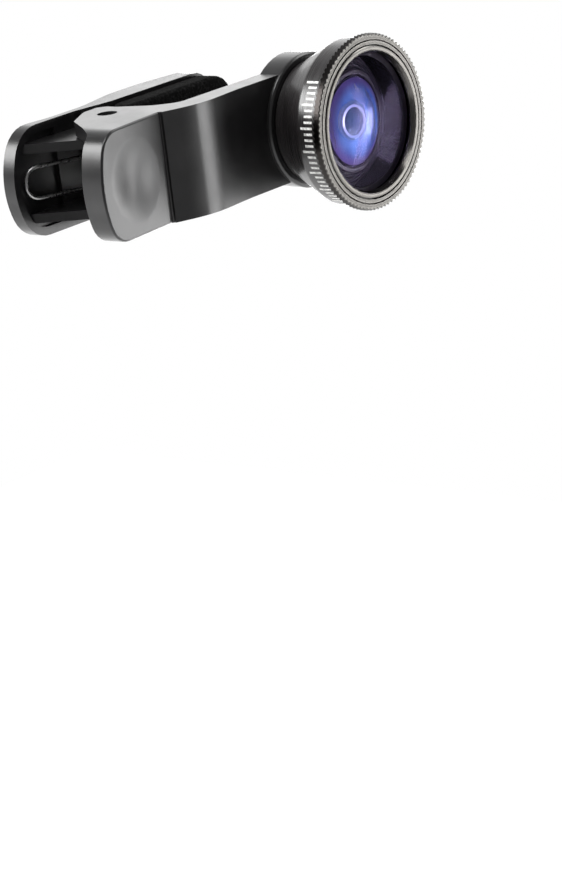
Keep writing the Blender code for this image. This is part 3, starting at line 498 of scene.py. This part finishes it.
def roll_thumb(cage):
    """Rolls the outline of the thumb pad's face over, wider than the other edges."""
    inner_end = HINGE_X + 1.7 * MM
    face_y, face_slope, outward = -2.9 * MM, 0.085, 12.8 * MM

    def on_face(vert):
        rise = vert.co.y - (face_y + face_slope * (vert.co.x - HINGE_X + outward))
        return abs(rise) < 0.03 * MM and vert.co.x < inner_end

    outline = [
        edge
        for edge in cage.edges
        if all(on_face(vert) for vert in edge.verts)
        and len(edge.link_faces) == 2
        and edge.calc_face_angle(0.0) > math.radians(60)
    ]
    bmesh.ops.bevel(
        cage,
        geom=outline,
        offset=0.34 * MM,
        segments=4,
        profile=0.5,
        affect="EDGES",
        clamp_overlap=False,
    )


def lens_point(radius, height, angle):
    return LENS_X + radius * math.cos(angle), -height, radius * math.sin(angle)


def turned_mesh(name, profile):
    """(radius, height, material of the face that starts there) points turned round the axis."""
    cage = bmesh.new()
    rings = []
    for radius, height, _ in profile:
        if radius < 1e-9:
            rings.append([cage.verts.new((LENS_X, -height, 0.0))])
            continue
        angles = [2 * math.pi * i / TURN_STEPS for i in range(TURN_STEPS)]
        rings.append([cage.verts.new(lens_point(radius, height, angle)) for angle in angles])
    for (_, _, index), first, second in zip(profile, rings, rings[1:]):
        for i in range(TURN_STEPS):
            j = (i + 1) % TURN_STEPS
            if len(first) == 1:
                corners = (first[0], second[i], second[j])
            elif len(second) == 1:
                corners = (first[i], second[0], first[j])
            else:
                corners = (first[i], second[i], second[j], first[j])
            cage.faces.new(corners).material_index = index
    bmesh.ops.recalc_face_normals(cage, faces=cage.faces)
    mesh = as_mesh(cage, name)
    smooth_faces(mesh, SHARP_TURNED)
    return mesh


def sag(radius, at):
    return radius - math.sqrt(radius * radius - at * at)


def dome(reach, top, radius):
    """Points of a turned profile from the axis out over a dome, all in the first material."""
    steps = [reach * i / DOME_STEPS for i in range(DOME_STEPS + 1)]
    return [[at, top - sag(radius, at), 0] for at in steps]


def element_ends(node):
    """(rim radius, height of the back, height of the front) of a turned CAD node."""
    low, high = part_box(node)
    return (high.x - low.x) / 2, -high.y, -low.y


def front_glass():
    """The domed front element: a clear face, a hollow back with a painted blue reflection that is
    strong on the -X side and fades past the axis, a blackened seat and edge.
    """
    rim_r, back, front = element_ends("front_element")
    dome_r, hollow_r = 24 * MM, 13.5 * MM
    shoulder = rim_r - 0.45 * MM
    rim = front - sag(dome_r, shoulder)
    chamfer = 0.1 * MM
    clear = rim_r - 1.35 * MM
    hollow_top = front - 1.6 * MM
    profile = dome(shoulder, front, dome_r)
    profile[-1][2] = 1
    profile.append([rim_r - chamfer, rim, 1])
    profile.append([rim_r, rim - chamfer, 1])
    profile.append([rim_r, back, 1])
    profile.append([clear, back, 1])
    for i in range(DOME_STEPS + 1):
        at = clear * (1 - i / DOME_STEPS)
        profile.append([at, hollow_top - sag(hollow_r, at), 2])
    clear_face = coated_glass("front_glass", (0.96, 0.95, 1.0), (0.7, 0.6, 1.0), 0.012)
    # Painted reflection: the hollow back mirrors blue strongly on the -X side, hardly at all past
    # the axis.
    painted_blue_reflection = coated_glass(
        "front_glass_painted_reflection", (0.86, 0.87, 1.0), (0.16, 0.3, 1.0), (-8.5, 1.0, 0.4, 0.01)
    )
    new_piece(
        "front_glass_ground",
        turned_mesh("front_glass_ground", profile),
        "lens",
        (clear_face, matt_black("glass_edge_black"), painted_blue_reflection),
        "front_glass",
        "front_element",
    )


def second_glass():
    """The second element, domed in front, black round its edge, under a film that carries a painted
    blue sheen.
    """
    rim_r, back, front = element_ends("second_element")
    dome_r = 14 * MM
    clear = rim_r - 0.25 * MM
    profile = dome(clear, front, dome_r)
    profile[-1][2] = 1
    profile.append([rim_r, front - sag(dome_r, clear) - 0.05 * MM, 1])
    profile.append([rim_r, back, 0])
    profile.append([0.0, back, 0])
    clear_body = coated_glass("second_glass", (0.92, 0.92, 1.0), (0.6, 0.5, 1.0), 0.01)
    new_piece(
        "second_glass_ground",
        turned_mesh("second_glass_ground", profile),
        "lens",
        (clear_body, matt_black("second_edge_black")),
        "inner_glass",
        "second_element",
    )
    lift, film = 0.02 * MM, 0.03 * MM
    # A thin film over the dome, which carries the painted blue sheen.
    skin = dome(clear - 0.05 * MM, front + lift + film, dome_r)
    skin += [[at, height - film, 0] for at, height, _ in skin[::-1]]
    coating = turned_mesh("second_painted_sheen", skin)
    new_piece("second_painted_sheen", coating, "lens", blue_painted_sheen(), "inner_glass")


def baffled_cell():
    """The black ring between the elements, its funnel stepped against stray light."""
    outer_r, bottom, face = element_ends("element_cell")
    pocket_r, hub_r, hub_top = 6.73 * MM, 7.36 * MM, 11.34 * MM
    seat, lip_r, body_r, under = 9.45 * MM, 5.93 * MM, 8.08 * MM, 9.85 * MM
    chamfer = 0.2 * MM
    funnel_r, funnel_foot = outer_r - 1.37 * MM, under + 0.12 * MM
    profile = [
        (outer_r, face, 0),
        (outer_r, under, 0),
        (body_r, under, 0),
        (body_r, bottom, 0),
        (lip_r, bottom, 0),
        (lip_r, seat, 0),
        (pocket_r, seat, 0),
        (pocket_r, hub_top, 0),
        (hub_r - chamfer, hub_top, 0),
        (hub_r, hub_top - chamfer, 0),
        (hub_r, funnel_foot, 0),
    ]
    steps, tread = 5, 0.85
    out, up = funnel_r - hub_r, face - funnel_foot
    for i in range(steps):
        low, high = i / steps, (i + tread) / steps
        profile.append((hub_r + out * high, funnel_foot + up * low, 0))
        profile.append((hub_r + out * (i + 1) / steps, funnel_foot + up * (i + 1) / steps, 0))
    profile.append((outer_r, face, 0))
    new_piece(
        "cell_turned",
        turned_mesh("cell_turned", profile),
        "lens",
        # Lifted and tinted violet above the other blacks: a painted reflection of the coated glass
        # in front of it.
        matt_black("cell_black", (3.0, 2.2, 3.6)),
        "inner_black",
        "element_cell",
    )


def tail_thread():
    """The lens's fine screw thread round its tail, fading into it at both ends."""
    low, high = 1.35 * MM, 4.2 * MM
    root, crest, pitch = 6.03 * MM, 6.13 * MM, 0.75 * MM
    section = ((-0.3, root), (-0.06, crest), (0.06, crest), (0.3, root))  # along in pitches
    steps, fade = 64, 12
    cage = bmesh.new()
    loops = []
    count = round((high - low) / pitch * steps)
    for i in range(count + 1):
        angle = 2 * math.pi * i / steps
        middle = low + pitch * i / steps
        grow = min(1.0, i / fade, (count - i) / fade)
        loop = []
        for along, radius in section:
            at = lens_point(root + (radius - root) * grow, middle + along * pitch, -angle)
            loop.append(cage.verts.new(at))
        loops.append(loop)
    for first, second in zip(loops, loops[1:]):
        for k in range(4):
            m = (k + 1) % 4
            cage.faces.new((first[k], second[k], second[m], first[m]))
    cage.faces.new(loops[0])
    cage.faces.new(loops[-1][::-1])
    bmesh.ops.recalc_face_normals(cage, faces=cage.faces)
    mesh = as_mesh(cage, "tail_thread")
    smooth_faces(mesh, SHARP_TURNED)
    new_piece("tail_thread", mesh, "lens", ANODISED, "barrel_black")


def index_marks():
    """Plain index lines round the band, long and short in turn, inlaid in white."""
    band_r, proud, depth = 11.9 * MM, 0.012 * MM, 0.05 * MM
    surface = band_r + proud
    first, last, count = 40.0, -56.0, 25  # degrees up from -X
    long_foot, short_foot, top = 11.5, 12.1, 13.5
    half = 0.17 * MM / surface
    block = (
        (0, 1, 3, 2),
        (4, 6, 7, 5),
        (0, 4, 5, 1),
        (2, 3, 7, 6),
        (0, 2, 6, 4),
        (1, 5, 7, 3),
    )
    cage = bmesh.new()
    for i in range(count):
        middle = math.radians(180 - (first + (last - first) * i / (count - 1)))
        foot = long_foot if i % 4 == 0 else short_foot
        verts = [
            cage.verts.new(lens_point(radius, height, angle))
            for radius in (surface, surface - depth)
            for height in (foot * MM, top * MM)
            for angle in (middle - half, middle + half)
        ]
        for corners in block:
            cage.faces.new([verts[k] for k in corners])
    bmesh.ops.recalc_face_normals(cage, faces=cage.faces)
    mesh = as_mesh(cage, "index_marks")
    new_piece("index_marks", mesh, "lens", index_paint(), "bezel_bright")


def jaw_foam():
    """The thick soft pad: its edges rubbed round, its skin open and pitted, a little crowned."""
    mesh = as_mesh(clean_cage("rear_jaw_pad"), "jaw_foam")
    made = new_piece("jaw_foam", mesh, "rear_clip", foam(), "pad_foam", "rear_jaw_pad")
    remesh = made.modifiers.new("skin", "REMESH")
    remesh.mode = "VOXEL"
    remesh.voxel_size = 0.3 * MM
    rub = made.modifiers.new("rub", "SMOOTH")
    rub.factor = 0.5
    rub.iterations = 10
    real_mesh(made)
    low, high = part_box("rear_jaw_pad")
    middle = (low + high) / 2
    half = (high - low) / 2
    crowned_to, glued_from = 8.2, 11.2  # millimetres along Y
    normals = [vert.normal.copy() for vert in made.data.vertices]
    for vert, normal in zip(made.data.vertices, normals):
        at = vert.co / MM
        pits = noise.noise(at * 1.1) * 0.55 + noise.noise(at * 2.7) * 0.45
        inward = 0.06 + 0.16 * max(0.0, pits)
        if at.y < crowned_to:
            across = abs(vert.co.z - middle.z) / half.z
            along = abs(vert.co.x - middle.x) / half.x
            inward += 0.22 * max(across, along) ** 4
        if at.y > glued_from:
            inward = 0.0
        vert.co -= normal * inward * MM
    made.data.update()
    smooth_faces(made.data, SHARP_FOAM)


def ring_rubber():
    """The soft ring on the front jaw."""
    made = soft_edges("front_ring_pad", "ring_rubber", "front_clip", rubber(), "pad_rubber", 0.2)


def spring_wire():
    """The spring, welded and shaded smooth, riding on no body."""
    mesh = as_mesh(clean_cage("torsion_spring"), "spring_wire")
    smooth_faces(mesh, SHARP_WIRE)
    wire = steel("spring_wire", 0.3, 0.3)
    made = new_piece("spring_wire", mesh, None, wire, "spring_steel", "torsion_spring")
    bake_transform(made)


PLASTIC = moulded_plastic()
ANODISED = anodised()
STEEL = steel("pin_steel", 0.5, 0.3)
REAR_BLACK = matt_black("rear_ring_black")
REAR_GLASS = coated_glass("rear_glass", (0.9, 0.92, 1.0), (0.5, 0.6, 1.0), 0.04)
for row in (
    # CAD node, piece, body, finish, slot, roll in millimetres, what is done to it first
    ("front_arm", "front_arm_moulding", "front_clip", PLASTIC, "clip_plastic", 0.16, roll_thumb),
    ("rear_arm", "rear_arm_moulding", "rear_clip", PLASTIC, "clip_plastic", 0.2),
    ("hinge_pin", "hinge_pin_turned", "front_clip", STEEL, "pin_steel", 0.06),
    ("lens_barrel", "barrel_turned", "lens", ANODISED, "barrel_black", 0.06),
    ("front_bezel", "bezel_knurled", "lens", bright_face_painted_shade_sides(), "bezel_bright", 0.0),
    ("front_retaining_ring", "ring_turned", "lens", bright_metal(), "bezel_bright", 0.0),
    ("aperture_stop", "stop_turned", "lens", stop_metal(), "stop_metal", 0.0),
    ("rear_retaining_ring", "rear_ring_turned", "lens", REAR_BLACK, "inner_black", 0.05),
    ("rear_element", "rear_glass_ground", "lens_travel", REAR_GLASS, "inner_glass", 0.0),
):
    soft_edges(*row)
front_glass()
second_glass()
baffled_cell()
tail_thread()
index_marks()
jaw_foam()
ring_rubber()
spring_wire()


def aim(obj, at, towards):
    """Puts obj at a point with its -Z towards another."""
    obj.location = at
    obj.rotation_euler = (towards - at).to_track_quat("-Z", "Y").to_euler()


def lamp(name, azimuth, elevation, distance, wide, high, radiance):
    """A soft box: azimuth in degrees from -Y towards +X, elevation above the horizon."""
    a, e = math.radians(azimuth), math.radians(elevation)
    way = Vector((math.sin(a) * math.cos(e), -math.cos(a) * math.cos(e), math.sin(e)))
    light = bpy.data.lights.new(name, "AREA")
    light.shape = "RECTANGLE"
    light.size, light.size_y = wide, high
    light.energy = radiance * POWER_PER_RADIANCE * wide * high
    made = bpy.data.objects.new(name, light)
    bpy.context.scene.collection.objects.link(made)
    aim(made, way * distance, Vector((0.0, 0.0, 0.0)))


def floor():
    """A white sheet below the part."""
    mesh = bpy.data.meshes.new("floor")
    corners = [
        (x * FLOOR_REACH, y * FLOOR_REACH, FLOOR_Z) for x, y in ((-1, -1), (1, -1), (1, 1), (-1, 1))
    ]
    mesh.from_pydata(corners, [], [(0, 1, 2, 3)])
    mesh.materials.append(stage_white())
    sheet = bpy.data.objects.new("floor", mesh)
    bpy.context.scene.collection.objects.link(sheet)


def room():
    """A white backdrop, which gloss and glass show on its own side of the room only."""
    world = bpy.data.worlds.new("studio")
    g = Graph(world, "OutputWorld")
    direct, matt, gloss = g.rays()
    ahead = g.node("VectorMath", operation="DOT_PRODUCT")
    ahead.inputs[1].default_value = Vector((LOOK.x, LOOK.y, 0.0)).normalized()
    g.link(g.node("TexCoord").outputs["Generated"], ahead.inputs[0])
    backdrop = g.ramp(ahead.outputs["Value"], *BACKDROP_EDGE, DIM_LEVEL, 1.0)
    level = g.math("MAXIMUM", direct, g.math("MULTIPLY", gloss, backdrop))
    level = g.math("MAXIMUM", level, g.math("MULTIPLY", matt, ROOM_LEVEL))
    back = g.node("Background")
    g.put((1.0, 1.0, 1.0), back.inputs["Color"])
    g.link(level, back.inputs["Strength"])
    g.show(back)
    bpy.context.scene.world = world


def camera():
    lens = bpy.data.cameras.new("camera")
    lens.sensor_width = SENSOR
    lens.sensor_fit = "HORIZONTAL"
    lens.lens = FOCAL_PIXELS / FRAME_PIXELS * SENSOR
    lens.clip_start = 0.01
    lens.clip_end = 50.0
    made = bpy.data.objects.new("camera", lens)
    bpy.context.scene.collection.objects.link(made)
    look = LOOK.normalized()
    right = (RIGHT - look * RIGHT.dot(look)).normalized()
    up = right.cross(look)
    turn = Matrix((right, up, -look)).transposed().to_4x4()
    made.matrix_world = Matrix.Translation(CAMERA_AT) @ turn
    bpy.context.scene.camera = made


floor()
room()
for row in LAMPS:
    lamp(*row)
camera()
bpy.context.scene.view_settings.view_transform = "Standard"
